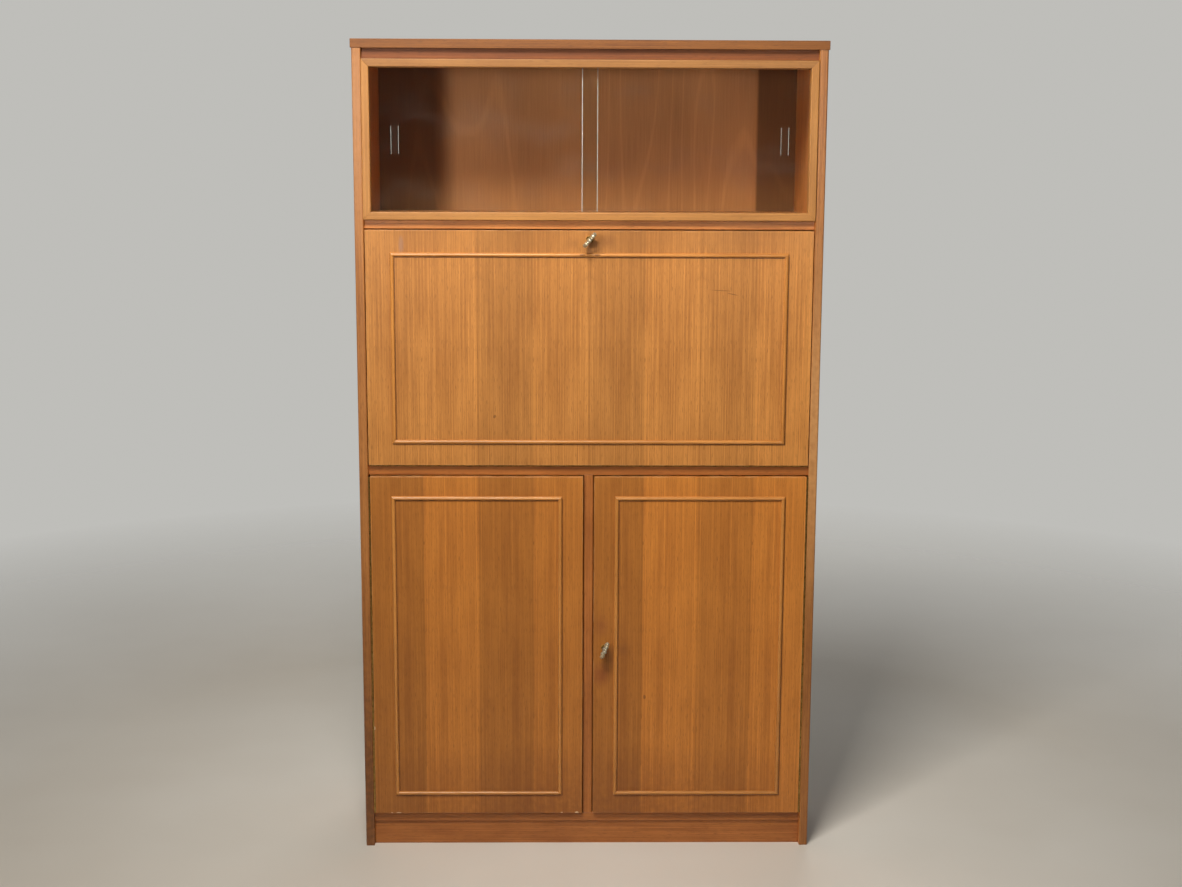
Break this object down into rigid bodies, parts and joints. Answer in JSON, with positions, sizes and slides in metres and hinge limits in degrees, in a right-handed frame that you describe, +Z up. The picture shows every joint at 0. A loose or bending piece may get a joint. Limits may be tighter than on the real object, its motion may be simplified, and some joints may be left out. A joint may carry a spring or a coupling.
{
  "type": "secretary desk",
  "caption": "Tall teak secretary desk: glazed display cabinet with sliding panes over a drop-front writing flap on stays, over a cupboard with hinged doors, with keys in the locks.",
  "frame": {"origin": "on the floor, in the middle of the whole box", "axes": "+Z up, +X to the right seen from the front, the front faces -Y"},
  "size_m": [1.013, 0.416, 1.8],
  "materials": {
    "teak_veneer": "satin oiled teak veneer",
    "teak_edge": "satin, red-brown solid edging",
    "teak_frame": "satin, lighter solid wood",
    "teak_inside": "satin veneer",
    "brass": "polished, slightly worn",
    "steel": "plain",
    "clear_glass": "clear float glass"
  },
  "bodies": {
    "root": {"side_panel_left": "teak_veneer", "side_panel_right": "teak_veneer", "top_board": "teak_veneer", "top_rail": "teak_edge", "vitrine_floor": "teak_edge", "desk_floor": "teak_edge", "bottom_board": "teak_edge", "plinth_board": "teak_edge", "back_panel": "teak_inside", "centre_post": "teak_edge", "cabinet_shelf": "teak_inside", "shelf_batten_left": "teak_inside", "shelf_batten_right": "teak_inside", "frame_bottom": "teak_frame", "frame_right": "teak_frame", "frame_top": "teak_frame", "frame_left": "teak_frame", "glass_track_bottom": "teak_inside", "glass_track_top": "teak_inside", "flap_hinge_leaf_fixed": "brass", "flap_hinge_pin": "steel", "door_left_hinge_leaf_fixed": "brass", "door_left_hinge_pin": "steel", "door_right_hinge_leaf_fixed": "brass", "door_right_hinge_pin": "steel", "desk_floor_liner": "teak_inside", "fitment_shelf": "teak_inside", "fitment_upright_left": "teak_inside", "fitment_upright_centre": "teak_inside", "fitment_upright_right": "teak_inside"},
    "flap": {"flap_panel": "teak_veneer", "flap_bead": "teak_veneer", "flap_lock_case": "steel", "flap_escutcheon": "brass", "flap_hinge_leaf_moving": "brass", "stay_bracket_left": "brass", "stay_bracket_right": "brass"},
    "flap_bolt": {"flap_lock_bolt": "brass"},
    "flap_key": {"flap_key": "brass"},
    "stay_rod_left": {"stay_rod_left": "brass"},
    "stay_rod_right": {"stay_rod_right": "brass"},
    "stay_guide_left": {"stay_guide_left": "brass"},
    "stay_guide_right": {"stay_guide_right": "brass"},
    "door_left": {"door_left": "teak_veneer", "door_left_bead": "teak_veneer", "door_left_hinge_leaf_moving": "brass", "ball_catch": "brass"},
    "door_right": {"door_right": "teak_veneer", "door_right_bead": "teak_veneer", "door_right_hinge_leaf_moving": "brass", "door_lock_case": "steel", "door_escutcheon": "brass"},
    "door_bolt": {"door_lock_bolt": "brass"},
    "door_key": {"door_key": "brass"},
    "glass_left": {"glass_pane_left": "clear_glass"},
    "glass_right": {"glass_pane_right": "clear_glass"},
    "drawer_left": {"drawer_left": "teak_inside", "drawer_knob_left": "brass"},
    "drawer_right": {"drawer_right": "teak_inside", "drawer_knob_right": "brass"}
  },
  "joints": [
    {"name": "flap_drop", "type": "hinge", "parent": "root", "child": "flap", "pos_m": [0, -0.1635, 0.8835], "axis": [1, 0, 0], "range_deg": [0, 90]},
    {"name": "flap_key_turn", "type": "hinge", "parent": "flap", "child": "flap_key", "pos_m": [0, -0.172, 1.3805], "axis": [0, 1, 0], "range_deg": [0, 90]},
    {"name": "flap_bolt_throw", "type": "slide", "parent": "flap", "child": "flap_bolt", "axis": [0, 0, 1], "range_m": [0, 0.008]},
    {"name": "stay_guide_left_swivel", "type": "hinge", "parent": "root", "child": "stay_guide_left", "pos_m": [-0.47, -0.06298, 1.05761], "axis": [1, 0, 0], "range_deg": [0, 45.01]},
    {"name": "stay_rod_left_pivot", "type": "hinge", "parent": "flap", "child": "stay_rod_left", "pos_m": [-0.47, -0.143, 1.0835], "axis": [1, 0, 0], "range_deg": [-45.01, 0]},
    {"name": "stay_guide_right_swivel", "type": "hinge", "parent": "root", "child": "stay_guide_right", "pos_m": [0.47, -0.06298, 1.05761], "axis": [1, 0, 0], "range_deg": [0, 45.01]},
    {"name": "stay_rod_right_pivot", "type": "hinge", "parent": "flap", "child": "stay_rod_right", "pos_m": [0.47, -0.143, 1.0835], "axis": [1, 0, 0], "range_deg": [-45.01, 0]},
    {"name": "door_left_swing", "type": "hinge", "parent": "root", "child": "door_left", "pos_m": [-0.483, -0.1712, 0.469], "axis": [0, 0, -1], "range_deg": [0, 110]},
    {"name": "door_right_swing", "type": "hinge", "parent": "root", "child": "door_right", "pos_m": [0.483, -0.1712, 0.469], "axis": [0, 0, 1], "range_deg": [0, 110]},
    {"name": "door_key_turn", "type": "hinge", "parent": "door_right", "child": "door_key", "pos_m": [0.037, -0.172, 0.469], "axis": [0, 1, 0], "range_deg": [0, 90]},
    {"name": "door_bolt_throw", "type": "slide", "parent": "door_right", "child": "door_bolt", "axis": [-1, 0, 0], "range_m": [0, 0.008]},
    {"name": "glass_left_slide", "type": "slide", "parent": "root", "child": "glass_left", "axis": [1, 0, 0], "range_m": [0, 0.466]},
    {"name": "glass_right_slide", "type": "slide", "parent": "root", "child": "glass_right", "axis": [-1, 0, 0], "range_m": [0, 0.466]},
    {"name": "drawer_left_slide", "type": "slide", "parent": "root", "child": "drawer_left", "axis": [0, -1, 0], "range_m": [0, 0.125]},
    {"name": "drawer_right_slide", "type": "slide", "parent": "root", "child": "drawer_right", "axis": [0, -1, 0], "range_m": [0, 0.125]}
  ],
  "couplings": [
    {"joint": "flap_bolt_throw", "follows": "flap_key_turn", "m_per_rad": 0.00509},
    {"joint": "door_bolt_throw", "follows": "door_key_turn", "m_per_rad": 0.00509},
    {"joint": "stay_guide_left_swivel", "follows": "flap_drop", "ratio": 0.5},
    {"joint": "stay_rod_left_pivot", "follows": "flap_drop", "ratio": -0.5},
    {"joint": "stay_guide_right_swivel", "follows": "flap_drop", "ratio": 0.5},
    {"joint": "stay_rod_right_pivot", "follows": "flap_drop", "ratio": -0.5}
  ]
}
